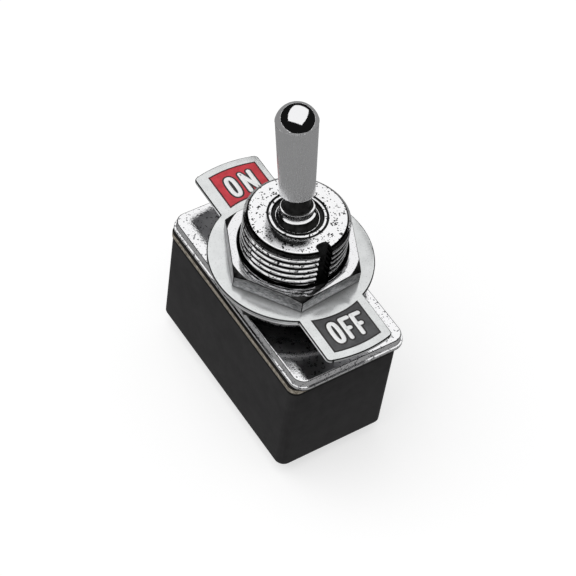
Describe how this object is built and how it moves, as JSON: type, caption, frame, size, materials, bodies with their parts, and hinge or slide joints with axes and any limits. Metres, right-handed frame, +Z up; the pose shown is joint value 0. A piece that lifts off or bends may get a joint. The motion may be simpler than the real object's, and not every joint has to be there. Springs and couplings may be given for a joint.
{
  "type": "panel toggle switch",
  "caption": "Bat-handle panel toggle switch with threaded bushing, ON and OFF plate, moulded case and screw terminals.",
  "frame": {"origin": "On the axis of the threaded bushing, in the plane of the cover plate's top face", "axes": "+Z runs up the bushing away from the case, +X points to the OFF side where the keyway is, +Y completes a right-handed frame across the case"},
  "size_m": [0.0318, 0.0198, 0.0451],
  "materials": {
    "phenolic": "matte moulded phenolic",
    "fibre_board": "tan pressed fibre board",
    "plated_steel": "bright plated sheet",
    "yoke_steel": "plain plated strip",
    "bushing_chrome": "bright plated, turned and threaded",
    "lever_chrome": "bright plated, turned",
    "pin_steel": "ground steel",
    "plunger_nylon": "natural nylon",
    "spring_steel": "drawn spring wire",
    "brass_strip": "stamped brass strip",
    "contact_silver": "silver contact, soft shine",
    "brass_turned": "turned brass",
    "nut_chrome": "bright plated, faces lightly satin",
    "washer_steel": "plated spring steel",
    "plate_metal": "satin sheet with printed red and grey fields"
  },
  "bodies": {
    "switch_body": {"case_body": "phenolic", "top_insulator": "fibre_board", "cover_plate": "plated_steel", "clamp_yoke": "yoke_steel", "threaded_bushing": "bushing_chrome", "rocker_saddle": "brass_strip", "contact_strip": "brass_strip", "fixed_contact": "contact_silver", "common_terminal": "brass_strip", "line_terminal": "brass_strip", "common_rivet": "brass_turned", "line_rivet": "brass_turned", "common_screw": "brass_turned", "line_screw": "brass_turned", "lower_nut": "nut_chrome", "lock_washer": "washer_steel", "indicator_plate": "plate_metal", "top_nut": "nut_chrome"},
    "lever": {"bat_lever": "lever_chrome", "lever_pin": "pin_steel", "plunger_spring": "spring_steel"},
    "plunger": {"plunger": "plunger_nylon"},
    "rocker": {"contact_rocker": "brass_strip", "moving_contact": "contact_silver"}
  },
  "joints": [
    {"name": "lever_pivot", "type": "hinge", "parent": "switch_body", "child": "lever", "pos_m": [0, 0, 0.009], "axis": [0, 1, 0], "range_deg": [0, 23]},
    {"name": "plunger_slide", "type": "slide", "parent": "lever", "child": "plunger", "axis": [-0.1994, 0, 0.9799], "range_m": [0, 0.0008], "stiffness_N_per_m": 600, "springref_m": -0.0012, "deforming": ["plunger_spring"]},
    {"name": "rocker_pivot", "type": "hinge", "parent": "switch_body", "child": "rocker", "pos_m": [0, 0, -0.0124], "axis": [0, 1, 0], "range_deg": [-12, 0]}
  ],
  "couplings": [
    {"joint": "rocker_pivot", "follows": "lever_pivot", "ratio": -0.52174}
  ]
}
